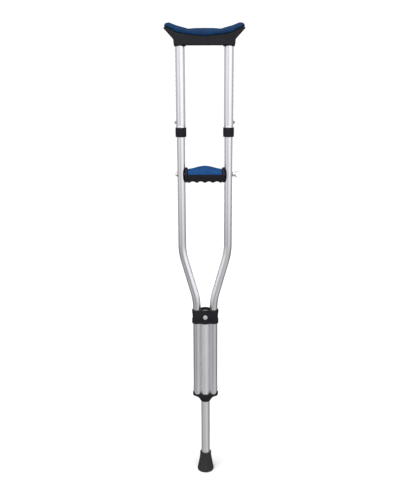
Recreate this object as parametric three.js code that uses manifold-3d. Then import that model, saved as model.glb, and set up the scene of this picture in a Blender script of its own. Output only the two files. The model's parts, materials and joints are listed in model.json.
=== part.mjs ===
// An underarm crutch: an adjustable upper section with a padded saddle, a bow
// frame with a handgrip between its tubes, and a leg with a rubber tip.
// Millimetres, +Z up. The origin is the centre of the tip's bottom face, X runs
// across the crutch and -Y is its front.

import * as THREE from 'three';
import { mergeVertices } from 'three/addons/utils/BufferGeometryUtils.js';
import Module from 'manifold-3d';

const wasm = await Module();
wasm.setup();

// ---------------------------------------------------------------- dimensions

const GAP = 0.4;                  // clearance between pieces that slide or nest
const SEAT = 0.35;                // clearance between faces that rest on each other
const ROUND = 8;                  // half the number of sides of a tube
const FINE = 24;                  // sides of the rubber tip
const SMALL = 12;                 // sides of buttons and rivets
const HOLE_SIDES = 10;

const UPPER_X = 64.25;            // tube centre line above the bends
const UPPER_RADIUS = 12.7;        // 1 in tube
const UPPER_WALL = 1.2;
const UPPER_BOTTOM = 1024;
const UPPER_TOP = 1280;

const BOW_RADIUS = 11.1;          // 7/8 in tube
const BOW_WALL = 1.4;
const BOW_TOP = 1085;
const BOW_BOTTOM = 256.6;
const BOW_LOW_X = 24.2;           // tube centre line beside the leg
const UPPER_BEND_Z = 697.5;       // where the straight and slanted lines cross
const LOWER_BEND_Z = 554.5;
const BEND_RADIUS = 178;
const BEND_STEPS = 4;

const LEG_RADIUS = 12.7;          // 1 in tube
const LEG_WALL = 1.6;
const LEG_BOTTOM = 10.3;
const LEG_TOP = 518.5;

const BUTTON_Z = 1060;
const BUTTON_RADIUS = 4;
const BUTTON_PROUD = 4.5;
const BUTTON_HOLE = 4.4;
const BUTTON_PITCH = 12.7;        // half-inch steps
const BUTTON_HOLES = 15;

const GRIP_Z = 920;
const GRIP_HALF = 46.5;            // half length between the end caps
const GRIP_SPLIT = 921;           // where the pad meets the body
const GRIP_PITCH = 25.4;          // one-inch steps
const GRIP_HOLES = 7;
const BOLT_RADIUS = 3.15;
const BOLT_HOLE = 3.6;
const CORE_RADIUS = 6;

const YOKE_BOTTOM = 485;
const YOKE_TOP = 526;
const YOKE_END_RADIUS = 14.3;     // round a bow tube
const YOKE_MIDDLE_RADIUS = 17.5;  // round the leg
const YOKE_WAIST = 12.5;          // half depth between the bosses
const YOKE_BOSS_TOP = YOKE_TOP + 1.2;
const YOKE_HALF = BOW_LOW_X + YOKE_END_RADIUS;
const YOKE_RIVET_Z = 507;
const NOTCH_RADIUS = 24;
const NOTCH_DEPTH = 2.5;

const LOCK_Z = 505.7;
const LOCK_RADIUS = 7;
const LOCK_HOLE = 7.4;
const LOCK_END = 16;              // how far forward the lock button reaches

const CLAMP_TOP = 259;
const CLAMP_LIP = 265;            // top of the raised outer ends
const CLAMP_FLOOR = 256.2;        // the bow tubes stand on this
const CLAMP_BOTTOM = 235.5;
const CLAMP_RIVET_Z = 276;
const CUP_RADIUS = 13.6;
const HUB_RADIUS = 15;
const CLAMP_WAIST = 11.5;         // half depth between the cups and the hub
const RIVET_RADIUS = 2;
const RIVET_HOLE = 2.35;

const TIP_TOP = 61;
const TIP_FLOOR = 8;              // the washer lies on this
const WASHER_THICK = 1.8;

const UPPER_INSIDE = UPPER_RADIUS - UPPER_WALL;
const BOW_INSIDE = BOW_RADIUS - BOW_WALL;
const LEG_INSIDE = LEG_RADIUS - LEG_WALL;

// ----------------------------------------------------------------- materials

function material(color, roughness, metalness) {
  return new THREE.MeshStandardMaterial({ color, roughness, metalness });
}

const aluminium = () => material('#d5d5da', 0.32, 0.95);
const legAluminium = () => material('#b9b9bd', 0.42, 0.9);
const steel = () => material('#b4b4b6', 0.3, 1);
const blackSteel = () => material('#2a2a2c', 0.4, 0.6);
const blackPlastic = () => material('#29292c', 0.5, 0);
const greyPlastic = () => material('#8f9094', 0.45, 0);
const blueCover = () => material('#1c4a80', 0.75, 0);
const blackRubber = () => material('#222224', 0.85, 0);

// ------------------------------------------------------------- shape helpers

// A closed geometry as a solid that can be joined and cut.
function solid(geometry) {
  const bare = geometry.clone();
  bare.deleteAttribute('normal');
  bare.deleteAttribute('uv');
  const merged = mergeVertices(bare, 1e-4);
  const index = merged.index.array;
  const triangles = [];
  for (let i = 0; i < index.length; i += 3) {
    const corners = [index[i], index[i + 1], index[i + 2]];
    if (new Set(corners).size === 3) triangles.push(...corners);
  }
  return new wasm.Manifold(new wasm.Mesh({
    numProp: 3,
    vertProperties: new Float32Array(merged.attributes.position.array),
    triVerts: new Uint32Array(triangles),
  }));
}

function geometryOf(body) {
  const mesh = body.getMesh();
  const geometry = new THREE.BufferGeometry();
  geometry.setAttribute('position', new THREE.BufferAttribute(mesh.vertProperties, 3));
  geometry.setIndex(new THREE.BufferAttribute(mesh.triVerts, 1));
  return geometry;
}

function join(...geometries) {
  return geometryOf(geometries.map(solid).reduce((whole, next) => whole.add(next)));
}

function cut(geometry, ...tools) {
  return geometryOf(tools.map(solid).reduce((rest, tool) => rest.subtract(tool), solid(geometry)));
}

function common(geometry, other) {
  return geometryOf(solid(geometry).intersect(solid(other)));
}

// Turns a geometry built along its own Y axis to stand along Z.
function upright(geometry) {
  return geometry.rotateX(Math.PI / 2);
}

// Turns a geometry built along its own Z axis to lie along X, with its own X
// along the crutch's Y and its own Y upward.
function lengthwise(geometry) {
  const basis = new THREE.Matrix4().makeBasis(
    new THREE.Vector3(0, 1, 0),
    new THREE.Vector3(0, 0, 1),
    new THREE.Vector3(1, 0, 0),
  );
  return geometry.applyMatrix4(basis);
}

function points(pairs) {
  return pairs.map(([across, along]) => new THREE.Vector2(across, along));
}

// A turned solid about Z from [radius, height] pairs.
function turnedZ(pairs, sides = 2 * ROUND) {
  return upright(new THREE.LatheGeometry(points(pairs), sides));
}

// A turned solid about X from [radius, distance along X] pairs.
function turnedX(pairs, sides = 2 * ROUND) {
  return lengthwise(turnedZ(pairs, sides));
}

// A turned solid about Y whose second number is the distance towards the front.
function turnedFront(pairs, sides = 2 * ROUND) {
  return turnedZ(pairs, sides).rotateX(Math.PI / 2);
}

function cylinderZ(radius, low, high, sides = 2 * ROUND) {
  return turnedZ([[0, low], [radius, low], [radius, high], [0, high]], sides);
}

function cylinderX(radius, low, high, sides = 2 * ROUND) {
  return turnedX([[0, low], [radius, low], [radius, high], [0, high]], sides);
}

function box(lowX, highX, lowY, highY, lowZ, highZ) {
  const geometry = new THREE.BoxGeometry(highX - lowX, highY - lowY, highZ - lowZ);
  return geometry.translate((lowX + highX) / 2, (lowY + highY) / 2, (lowZ + highZ) / 2);
}

function ring(outer, inner) {
  const shape = new THREE.Shape();
  shape.absarc(0, 0, outer, 0, 2 * Math.PI);
  const hole = new THREE.Path();
  hole.absarc(0, 0, inner, 0, 2 * Math.PI, true);
  shape.holes.push(hole);
  return shape;
}

function straightTube(outer, inner, low, high) {
  const options = { depth: high - low, bevelEnabled: false, curveSegments: ROUND };
  return new THREE.ExtrudeGeometry(ring(outer, inner), options).translate(0, 0, low);
}

// The outline of one half, [x, z] from the middle outwards and back, mirrored.
function mirrored(half) {
  const other = half.filter(([x]) => x > 0).reverse().map(([x, z]) => [-x, z]);
  return new THREE.Shape(points([...half, ...other]));
}

// A front outline given thickness front to back, with rounded edges.
function frontSlab(shape, halfDepth, edge, edgeSteps = 2) {
  const geometry = new THREE.ExtrudeGeometry(shape, {
    depth: 2 * (halfDepth - edge),
    bevelEnabled: edge > 0,
    bevelThickness: edge,
    bevelSize: edge,
    bevelOffset: -edge,
    bevelSegments: edgeSteps,
    curveSegments: ROUND,
  });
  return upright(geometry.translate(0, 0, edge - halfDepth));
}

// An upright block round the leg and both bow tubes: a boss about each, with the
// waists between them filled out to a given half depth.
function threeBosses(middleRadius, endRadius, waist, low, high) {
  const ends = [-BOW_LOW_X, BOW_LOW_X].map((x) =>
    cylinderZ(endRadius, low, high).translate(x, 0, 0));
  const filling = box(-BOW_LOW_X, BOW_LOW_X, -waist, waist, low, high);
  return join(filling, cylinderZ(middleRadius, low, high, FINE), ...ends);
}

// A path that an extrusion follows from one given station to the next.
class StationPath extends THREE.Curve {
  constructor(stations) {
    super();
    this.stations = stations;
  }

  between(t, key) {
    const at = t * (this.stations.length - 1);
    const first = Math.min(Math.floor(at), this.stations.length - 2);
    return this.stations[first][key].clone().lerp(this.stations[first + 1][key], at - first);
  }

  getPoint(t) {
    return this.between(t, 'point');
  }

  getPointAt(t) {
    return this.getPoint(t);
  }

  getTangentAt(t) {
    return this.between(t, 'tangent').normalize();
  }
}

// Stations along straight lines between corners, with a round bend at each inner
// corner. Corners are [x, z].
function bentStations(corners, radius, steps) {
  const at = corners.map(([x, z]) => new THREE.Vector3(x, 0, z));
  const stations = [];
  const add = (point, tangent) => stations.push({ point, tangent });
  add(at[0], at[1].clone().sub(at[0]).normalize());
  for (let i = 1; i < at.length - 1; i += 1) {
    const before = at[i].clone().sub(at[i - 1]).normalize();
    const after = at[i + 1].clone().sub(at[i]).normalize();
    const turn = before.angleTo(after);
    const inward = after.clone().sub(before).normalize();
    const centre = at[i].clone().addScaledVector(inward, radius / Math.cos(turn / 2));
    for (let step = 0; step <= steps; step += 1) {
      const tangent = before.clone().lerp(after, step / steps).normalize();
      const swing = turn * (step / steps - 0.5);
      const spoke = after.clone().add(before).normalize().multiplyScalar(Math.sin(swing));
      spoke.addScaledVector(inward, -Math.cos(swing));
      add(centre.clone().addScaledVector(spoke, radius), tangent);
    }
  }
  const last = at.length - 1;
  add(at[last], at[last].clone().sub(at[last - 1]).normalize());
  return stations;
}

function bentTube(corners, radius, outer, inner) {
  const stations = bentStations(corners, radius, BEND_STEPS);
  return new THREE.ExtrudeGeometry(ring(outer, inner), {
    steps: stations.length - 1,
    extrudePath: new StationPath(stations),
    curveSegments: ROUND,
  });
}

function piece(name, geometry, finish) {
  const mesh = new THREE.Mesh(geometry, finish);
  mesh.name = name;
  return mesh;
}

// A right-hand and a left-hand copy. The shape is drawn about its own tube with
// +X outwards; the left one is turned half round.
function pair(name, geometry, finish, x = 0) {
  const right = piece(`${name}_right`, geometry, finish());
  right.position.x = x;
  const left = piece(`${name}_left`, geometry, finish());
  left.position.x = -x;
  left.rotation.z = Math.PI;
  return [right, left];
}

function group(...members) {
  const set = new THREE.Group();
  set.add(...members.flat());
  return set;
}

// ------------------------------------------------------------- upper section

const BASE_HALF_DEPTH = 22;
const BASE_EDGE = 2.5;
const BASE_UNDERSIDE = 1258;
const SOCKET_BOTTOM = 1255;
const SOCKET_RADIUS = 15.4;
const BASE_OUTLINE = [
  [0, BASE_UNDERSIDE], [80, BASE_UNDERSIDE], [80.5, 1272], [105, 1298.5], [105, 1302.3],
  [101, 1302.8], [80, 1294], [75, 1289.5], [45, 1283.5], [0, 1279.5],
];
const PAD_HALF_DEPTH = 24;
const PAD_EDGE = 2.2;
const PAD_OUTLINE = [
  [0, 1279.9], [45, 1283.9], [75, 1289.9], [80, 1294.4], [100.2, 1303.2], [104.4, 1306],
  [100.6, 1311.8], [91, 1314], [73, 1306.6], [52, 1301.3], [42.4, 1298.6], [0, 1300.2],
];

// The moulded bar under the pad: a socket for each upper tube, and a ribbed
// hollow between them that opens downwards.
function underarmBase() {
  const bar = frontSlab(mirrored(BASE_OUTLINE), BASE_HALF_DEPTH, BASE_EDGE);
  const sockets = [-UPPER_X, UPPER_X].map((x) =>
    cylinderZ(SOCKET_RADIUS, SOCKET_BOTTOM, BASE_UNDERSIDE + 4).translate(x, 0, 0));
  const bores = [-UPPER_X, UPPER_X].map((x) =>
    cylinderZ(UPPER_RADIUS + GAP, SOCKET_BOTTOM - 1, UPPER_TOP + GAP).translate(x, 0, 0));
  const pocketHalf = 45;
  const ribHalf = 1.2;
  const pockets = [];
  for (let i = 0; i < 4; i += 1) {
    const low = -pocketHalf + i * pocketHalf / 2;
    const high = low + pocketHalf / 2;
    pockets.push(box(low + ribHalf, high - ribHalf, -18, 18, BASE_UNDERSIDE - 1, 1275));
  }
  return cut(join(bar, ...sockets), ...bores, ...pockets);
}

function underarmPad() {
  return frontSlab(mirrored(PAD_OUTLINE), PAD_HALF_DEPTH, PAD_EDGE);
}

function holeOut(radius, z, from, to) {
  return cylinderX(radius, from, to, HOLE_SIDES).translate(0, 0, z);
}

function upperTube() {
  const tube = straightTube(UPPER_RADIUS, UPPER_INSIDE, UPPER_BOTTOM, UPPER_TOP);
  const holes = Array.from({ length: BUTTON_HOLES }, (_, i) =>
    holeOut(BUTTON_HOLE, BUTTON_Z + i * BUTTON_PITCH, 5, 20));
  return cut(tube, ...holes);
}

// The ferrule on the lower end of an upper tube. Its lip runs on the bow tube.
function collar() {
  const inside = UPPER_RADIUS + GAP;
  const outside = 14.9;
  const bottom = 1021.4;
  const top = 1046.6;
  const lip = UPPER_BOTTOM - SEAT;
  const edge = 0.8;
  return turnedZ([
    [BOW_RADIUS + GAP, bottom], [outside - edge, bottom], [outside, bottom + edge],
    [outside, top - edge], [outside - edge, top], [inside, top], [inside, lip],
    [BOW_RADIUS + GAP, lip], [BOW_RADIUS + GAP, bottom],
  ]);
}

// --------------------------------------------------------------------- frame

// One bow tube, drawn on the right-hand side in place.
function bowTube() {
  const tube = bentTube(
    [[UPPER_X, BOW_TOP], [UPPER_X, UPPER_BEND_Z], [BOW_LOW_X, LOWER_BEND_Z], [BOW_LOW_X, BOW_BOTTOM]],
    BEND_RADIUS, BOW_RADIUS, BOW_INSIDE,
  );
  const gripHoles = Array.from({ length: GRIP_HOLES }, (_, i) =>
    holeOut(BOLT_HOLE, GRIP_Z - i * GRIP_PITCH, UPPER_X - 15, UPPER_X + 15));
  const buttonHole = holeOut(BUTTON_HOLE, BUTTON_Z, UPPER_X + 4, UPPER_X + 15);
  const rivetHoles = [YOKE_RIVET_Z, CLAMP_RIVET_Z].map((z) =>
    holeOut(RIVET_HOLE, z, BOW_LOW_X + 4, BOW_LOW_X + 15));
  return cut(tube, ...gripHoles, buttonHole, ...rivetHoles);
}

// The bearing plug in the top end of a bow tube, inside the upper tube.
function bowEndPlug() {
  const stem = BOW_INSIDE - GAP;
  return turnedZ([
    [0, BOW_TOP - 11], [stem - 1, BOW_TOP - 11], [stem, BOW_TOP - 10], [stem, BOW_TOP + SEAT],
    [UPPER_INSIDE - GAP, BOW_TOP + SEAT], [UPPER_INSIDE - GAP, BOW_TOP + 3], [0, BOW_TOP + 3],
  ]);
}

// A sprung button seen from its tube's centre line: a flange inside the tube, a
// shank through the wall and a domed end. Distances are from the centre line.
function buttonProfile(radius, flange, flangeLow, flangeHigh, end, dome) {
  return [
    [0, flangeLow], [flange, flangeLow], [flange, flangeHigh], [radius, flangeHigh],
    [radius, end - dome], [radius * 0.9, end - dome * 0.45], [radius * 0.6, end - dome * 0.1],
    [0, end],
  ];
}

function snapButton() {
  const end = UPPER_RADIUS + BUTTON_PROUD;
  return turnedX(buttonProfile(BUTTON_RADIUS, 4.9, 6.2, 7.5, end, 2.2), SMALL).translate(0, 0, BUTTON_Z);
}

// A folded leaf spring in the plane of [across, z]: an arm that rests on the
// back of the tube, a fold at the bottom, and an arm that lies under the button.
function leafSpring(back, front, fold, backTop, frontBend, frontTop, thick, halfWidth) {
  const outline = new THREE.Shape(points([
    [back, backTop], [back, fold + 4], [back + 2, fold], [back + 5, fold], [front, frontBend],
    [front, frontTop], [front - thick, frontTop], [front - thick, frontBend + 0.3],
    [back + 4.6, fold + thick], [back + 2.3, fold + thick], [back + thick, fold + 4.2],
    [back + thick, backTop],
  ]));
  return frontSlab(outline, halfWidth, 0);
}

function snapSpring() {
  return leafSpring(-8.2, 5.8, 1022, 1064, 1048, 1067, 0.7, 3.6);
}

function yokeBores(low, high) {
  return [
    cylinderZ(LEG_RADIUS + GAP, low, high),
    cylinderZ(BOW_RADIUS + GAP, low, high).translate(BOW_LOW_X, 0, 0),
    cylinderZ(BOW_RADIUS + GAP, low, high).translate(-BOW_LOW_X, 0, 0),
  ];
}

// The block that ties the bow tubes together and guides the leg. Its ends are
// hollowed where its rivets sit, and a round window in front takes the lock button.
function yoke() {
  const block = join(
    threeBosses(YOKE_MIDDLE_RADIUS, YOKE_END_RADIUS, YOKE_WAIST, YOKE_BOTTOM, YOKE_TOP),
    cylinderZ(YOKE_MIDDLE_RADIUS, YOKE_TOP - 1, YOKE_BOSS_TOP, FINE),
  );
  const notchX = YOKE_HALF - NOTCH_DEPTH + NOTCH_RADIUS;
  const notches = [-notchX, notchX].map((x) =>
    upright(new THREE.CylinderGeometry(NOTCH_RADIUS, NOTCH_RADIUS, 40, 40))
      .rotateX(Math.PI / 2).translate(x, 0, YOKE_RIVET_Z));
  const window = turnedFront([[0, 5], [LOCK_HOLE + 0.4, 5], [LOCK_HOLE + 0.4, 20], [0, 20]])
    .translate(0, 0, LOCK_Z);
  const rivetHole = holeOut(RIVET_HOLE, YOKE_RIVET_Z, -50, 50);
  return cut(block, ...yokeBores(YOKE_BOTTOM - 1, YOKE_BOSS_TOP + 1), ...notches, window, rivetHole);
}

// A rivet with its axis outwards. The seat is where the underside of its head is.
function rivet(inner, seat, headRadius, headHeight, z) {
  return turnedX([
    [0, inner], [RIVET_RADIUS, inner], [RIVET_RADIUS, seat], [headRadius, seat],
    [headRadius, seat + headHeight * 0.3], [headRadius * 0.75, seat + headHeight * 0.8],
    [headRadius * 0.35, seat + headHeight], [0, seat + headHeight],
  ], SMALL).translate(0, 0, z);
}

function yokeRivet() {
  const notchFloor = YOKE_HALF - NOTCH_DEPTH;
  return rivet(BOW_LOW_X + 7, notchFloor + SEAT, 3.2, 1.2, YOKE_RIVET_Z);
}

function clampRivet() {
  return rivet(BOW_LOW_X + 5, BOW_LOW_X + BOW_RADIUS + SEAT, 3.6, 2, CLAMP_RIVET_Z);
}

// The clamp at the foot of the bow: a cup and a spigot for each bow tube, with a
// raised lip at its outer end, and a hub that reaches down round the leg.
function lowerClamp() {
  const outer = BOW_LOW_X + CUP_RADIUS;
  const outline = [
    [0, CLAMP_BOTTOM], [10, CLAMP_BOTTOM], [13.4, 237.6], [15.8, 242.3], [18.5, 247.2],
    [22, 250.8], [26, 253], [34.5, 253.8], [37.2, 255.2], [outer, 257.5],
    [outer, CLAMP_LIP], [outer - 7.8, CLAMP_TOP], [0, CLAMP_TOP],
  ];
  const body = common(
    frontSlab(mirrored(outline), HUB_RADIUS + 1, 0),
    threeBosses(HUB_RADIUS, CUP_RADIUS, CLAMP_WAIST, CLAMP_BOTTOM - 1, CLAMP_LIP + 1),
  );
  const sides = [-BOW_LOW_X, BOW_LOW_X];
  const cups = sides.map((x) =>
    cylinderZ(BOW_RADIUS + GAP, CLAMP_FLOOR, CLAMP_LIP + 1).translate(x, 0, 0));
  const spigots = sides.map((x) =>
    cylinderZ(BOW_INSIDE - GAP, CLAMP_FLOOR - 1, CLAMP_RIVET_Z + 9).translate(x, 0, 0));
  const legBore = cylinderZ(LEG_RADIUS + GAP, CLAMP_BOTTOM - 1, CLAMP_LIP + 30);
  const rivetHole = holeOut(RIVET_HOLE, CLAMP_RIVET_Z, -40, 40);
  return cut(join(cut(body, ...cups), ...spigots), legBore, rivetHole);
}

// ----------------------------------------------------------------------- leg

function legTube() {
  const tube = straightTube(LEG_RADIUS, LEG_INSIDE, LEG_BOTTOM, LEG_TOP);
  const hole = turnedFront([[0, 4], [LOCK_HOLE, 4], [LOCK_HOLE, 20], [0, 20]]).translate(0, 0, LOCK_Z);
  return cut(tube, hole);
}

function legEndCap() {
  const stem = LEG_INSIDE - GAP;
  return turnedZ([
    [0, LOCK_Z + 8.6], [stem, LOCK_Z + 8.6], [stem, LEG_TOP + SEAT], [LEG_RADIUS - 0.2, LEG_TOP + SEAT],
    [LEG_RADIUS - 0.2, LEG_TOP + 1.6], [LEG_RADIUS - 1, LEG_TOP + 2], [0, LEG_TOP + 2],
  ]);
}

function lockButton() {
  return turnedFront(buttonProfile(LOCK_RADIUS, 8.2, 5.2, 6.6, LOCK_END, 1.5)).translate(0, 0, LOCK_Z);
}

// The lock button's spring, drawn like the snap springs and turned to the front.
function lockSpring() {
  return leafSpring(-9.3, 4.8, 458, 500, 490, 513, 0.8, 4.5).rotateZ(-Math.PI / 2);
}

// The tip is a flared cup. The leg stands on a washer in it, and rings are
// moulded into the sole.
function rubberTip() {
  const bore = LEG_RADIUS + GAP;
  const body = turnedZ([
    [0, 0], [21.6, 0], [23.8, 1], [24.9, 3.4], [24.7, 6.4], [22.3, 18], [19.6, 31], [17.6, 44],
    [16.7, 52], [16.9, 54], [16.9, 58.6], [15.7, TIP_TOP], [bore, TIP_TOP], [bore, TIP_FLOOR],
    [0, TIP_FLOOR],
  ], FINE);
  const grooves = [8, 12.5, 17].map((radius) => {
    const half = 1;
    const depth = 1.4;
    return turnedZ([
      [radius - half, -1], [radius + half, -1], [radius + half, depth], [radius - half, depth],
      [radius - half, -1],
    ], FINE);
  });
  return cut(body, ...grooves);
}

function washer(outer, inner, thick) {
  return [[inner, 0], [outer, 0], [outer, thick], [inner, thick], [inner, 0]];
}

function tipWasher() {
  return turnedZ(washer(LEG_RADIUS - 0.3, 4, WASHER_THICK)).translate(0, 0, TIP_FLOOR + 0.2);
}

// ------------------------------------------------------------------ handgrip

const GRIP_HALF_DEPTH = 17.5;
const GRIP_BELOW = 24;            // depth of the body's section under the bolt
const GRIP_ABOVE = 23.4;
const WAVE_PITCH = 22;            // from one finger ridge to the next
const WAVE_HEIGHT = 3.6;
const CAP_OUTER = 53.8;
const CAP_RADIUS = 21;

// Half an ellipse across the grip, standing on or hanging from the split.
function gripSection(halfDepth, height, side) {
  const shape = new THREE.Shape();
  const start = side > 0 ? 0 : Math.PI;
  shape.absellipse(0, 0, halfDepth, height, start, start + Math.PI, false);
  const geometry = new THREE.ExtrudeGeometry(shape, {
    depth: 2 * GRIP_HALF, bevelEnabled: false, curveSegments: ROUND,
  });
  return lengthwise(geometry.translate(0, 0, -GRIP_HALF));
}

function gripCoreBore() {
  return cylinderX(CORE_RADIUS + GAP, -70, 70).translate(0, 0, GRIP_Z);
}

// The lower half, with a ridge between each two fingers.
function gripBody() {
  const section = gripSection(GRIP_HALF_DEPTH, GRIP_BELOW + GRIP_SPLIT - GRIP_Z, -1)
    .translate(0, 0, GRIP_SPLIT);
  const outline = [];
  const steps = 34;
  for (let i = 0; i <= steps; i += 1) {
    const x = GRIP_HALF * (2 * i / steps - 1);
    const wave = (1 - Math.cos(2 * Math.PI * x / WAVE_PITCH)) / 2;
    outline.push([x, GRIP_Z - GRIP_BELOW + WAVE_HEIGHT * wave]);
  }
  outline.push([GRIP_HALF, GRIP_SPLIT], [-GRIP_HALF, GRIP_SPLIT]);
  const waves = frontSlab(new THREE.Shape(points(outline)), GRIP_HALF_DEPTH + 2, 0);
  return cut(common(section, waves), gripCoreBore());
}

// The upper half: a cushion that is highest in the middle.
function gripPad() {
  const low = GRIP_SPLIT + SEAT;
  const section = gripSection(GRIP_HALF_DEPTH + 0.5, GRIP_Z + GRIP_ABOVE - low, 1).translate(0, 0, low);
  const outline = [];
  const steps = 16;
  const endTop = GRIP_Z + 15;
  const crown = GRIP_Z + GRIP_ABOVE - endTop;
  for (let i = 0; i <= steps; i += 1) {
    const x = GRIP_HALF * (1 - 2 * i / steps);
    outline.push([x, endTop + crown * (1 + Math.cos(Math.PI * x / GRIP_HALF)) / 2]);
  }
  outline.push([-GRIP_HALF, low], [GRIP_HALF, low]);
  const crowned = frontSlab(new THREE.Shape(points(outline)), GRIP_HALF_DEPTH + 4, 0);
  return cut(common(section, crowned), gripCoreBore());
}

// An end cap whose outer face is hollowed to sit on the bow tube.
function gripEndCap() {
  const inner = GRIP_HALF + SEAT;
  const edge = 1.5;
  const disc = turnedX([
    [0, inner], [CAP_RADIUS - edge, inner], [CAP_RADIUS, inner + edge], [CAP_RADIUS, CAP_OUTER - edge],
    [CAP_RADIUS - edge, CAP_OUTER], [0, CAP_OUTER],
  ]).scale(1, 0.86, 1).translate(0, 0, GRIP_Z - 2);
  const tube = cylinderZ(BOW_RADIUS + GAP, GRIP_Z - 40, GRIP_Z + 40).translate(UPPER_X, 0, 0);
  return cut(disc, tube, gripCoreBore());
}

function gripCore() {
  const half = UPPER_X - BOW_RADIUS - GAP;
  return turnedX([
    [BOLT_RADIUS + GAP, -half], [CORE_RADIUS, -half], [CORE_RADIUS, half], [BOLT_RADIUS + GAP, half],
    [BOLT_RADIUS + GAP, -half],
  ]).translate(0, 0, GRIP_Z);
}

const WASHER_INNER_FACE = UPPER_X + BOW_RADIUS + SEAT;
const WASHER_WIDTH = 1.2;
const NUT_FACE = WASHER_INNER_FACE + WASHER_WIDTH + SEAT;

function gripWasher() {
  return turnedX(washer(6.5, BOLT_RADIUS + GAP, WASHER_WIDTH)).translate(WASHER_INNER_FACE, 0, GRIP_Z);
}

// The bolt's round head is on the left, and its threaded end carries the wing nut.
function gripBolt() {
  const head = 5.5;
  const headHeight = 3.4;
  const end = NUT_FACE + 8.6;
  return turnedX([
    [0, -NUT_FACE - headHeight], [head * 0.55, -NUT_FACE - headHeight],
    [head * 0.9, -NUT_FACE - headHeight * 0.65], [head, -NUT_FACE - headHeight * 0.2],
    [head, -NUT_FACE], [BOLT_RADIUS, -NUT_FACE], [BOLT_RADIUS, end - 0.6], [BOLT_RADIUS - 0.6, end],
    [0, end],
  ]).translate(0, 0, GRIP_Z);
}

function wingNut() {
  const hub = turnedX([
    [BOLT_RADIUS + 0.3, 0], [6, 0], [6, 1.4], [4.9, 7.4], [BOLT_RADIUS + 0.3, 7.4],
    [BOLT_RADIUS + 0.3, 0],
  ]);
  const ear = new THREE.Shape();
  ear.moveTo(1.6, 2);
  ear.lineTo(1.6, 5.2);
  ear.absarc(10.6, 7.6, 2, 0.75 * Math.PI, -0.3 * Math.PI, true);
  ear.lineTo(7.2, 4.2);
  ear.lineTo(7.2, 2);
  const slab = frontSlab(ear, 1.3, 0);
  const ears = [slab, slab.clone().rotateX(Math.PI)];
  const bore = cylinderX(BOLT_RADIUS + 0.3, -2, 20);
  return cut(join(hub, ...ears), bore);
}

// ------------------------------------------------------------------ assembly

const upperSection = group(
  piece('underarm_base', underarmBase(), blackPlastic()),
  piece('underarm_pad', underarmPad(), blueCover()),
  pair('upper_tube', upperTube(), aluminium, UPPER_X),
  pair('tube_collar', collar(), blackPlastic, UPPER_X),
);

const bowFrame = group(
  pair('bow_tube', bowTube(), aluminium),
  pair('bow_end_plug', bowEndPlug(), blackPlastic, UPPER_X),
  pair('snap_spring', snapSpring(), steel, UPPER_X),
  piece('yoke', yoke(), blackPlastic()),
  pair('yoke_rivet', yokeRivet(), blackSteel),
  piece('lower_clamp', lowerClamp(), blackPlastic()),
  pair('clamp_rivet', clampRivet(), steel),
);

const snapButtons = group(pair('snap_button', snapButton(), greyPlastic, UPPER_X));

const wingNutMesh = piece('wing_nut', wingNut(), steel());
wingNutMesh.position.set(NUT_FACE, 0, GRIP_Z);

const handgrip = group(
  piece('grip_core', gripCore(), steel()),
  piece('grip_body', gripBody(), blackPlastic()),
  piece('grip_pad', gripPad(), blueCover()),
  pair('grip_end_cap', gripEndCap(), blackPlastic),
  pair('grip_washer', gripWasher(), steel),
  piece('grip_bolt', gripBolt(), steel()),
  wingNutMesh,
);

const leg = group(
  piece('leg_tube', legTube(), legAluminium()),
  piece('leg_end_cap', legEndCap(), greyPlastic()),
  piece('lock_spring', lockSpring(), steel()),
  piece('lock_button', lockButton(), steel()),
  piece('tip_washer', tipWasher(), steel()),
  piece('rubber_tip', rubberTip(), blackRubber()),
);

const crutch = group(upperSection, bowFrame, snapButtons, handgrip, leg);

export default crutch;
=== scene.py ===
"""Fine surfaces, finishes, floor, light and camera for an underarm crutch.

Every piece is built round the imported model. X runs across the crutch, -Y is its
front and Z is up. Shapes are worked out in millimetres and stored in metres.
"""

import json
import math

import bmesh
import bpy
import numpy as np
from mathutils import Euler, Matrix, Vector


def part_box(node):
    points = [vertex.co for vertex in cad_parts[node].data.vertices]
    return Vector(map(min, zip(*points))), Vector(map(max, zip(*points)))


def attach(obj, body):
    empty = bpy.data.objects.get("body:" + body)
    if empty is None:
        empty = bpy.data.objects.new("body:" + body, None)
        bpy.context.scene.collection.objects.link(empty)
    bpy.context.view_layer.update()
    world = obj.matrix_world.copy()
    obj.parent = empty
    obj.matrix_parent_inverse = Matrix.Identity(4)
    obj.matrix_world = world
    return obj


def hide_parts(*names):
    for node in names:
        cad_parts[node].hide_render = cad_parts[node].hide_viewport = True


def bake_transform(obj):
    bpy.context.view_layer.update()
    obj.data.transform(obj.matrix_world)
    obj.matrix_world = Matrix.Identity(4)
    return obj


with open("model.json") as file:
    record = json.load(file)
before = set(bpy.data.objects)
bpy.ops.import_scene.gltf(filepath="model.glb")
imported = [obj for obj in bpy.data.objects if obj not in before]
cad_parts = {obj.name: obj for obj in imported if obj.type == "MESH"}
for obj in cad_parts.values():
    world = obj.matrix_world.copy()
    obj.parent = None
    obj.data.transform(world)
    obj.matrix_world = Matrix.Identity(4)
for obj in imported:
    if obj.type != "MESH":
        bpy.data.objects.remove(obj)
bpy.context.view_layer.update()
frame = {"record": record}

MM = 0.001
SCENE = bpy.context.scene
RECORD = frame["record"]
BODY = {node: body for body, nodes in RECORD["behaviour"]["bodies"].items() for node in nodes}
SLOT = {part["node"]: part["material_slot"] for part in RECORD["subparts"]}


class Place:
    """Where a CAD node is at rest, in millimetres."""

    def __init__(self, node):
        low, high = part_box(node)
        self.low = low / MM
        self.high = high / MM
        self.middle = (self.low + self.high) / 2
        self.half = (self.high - self.low) / 2


# ---------------- driving dimensions

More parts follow.
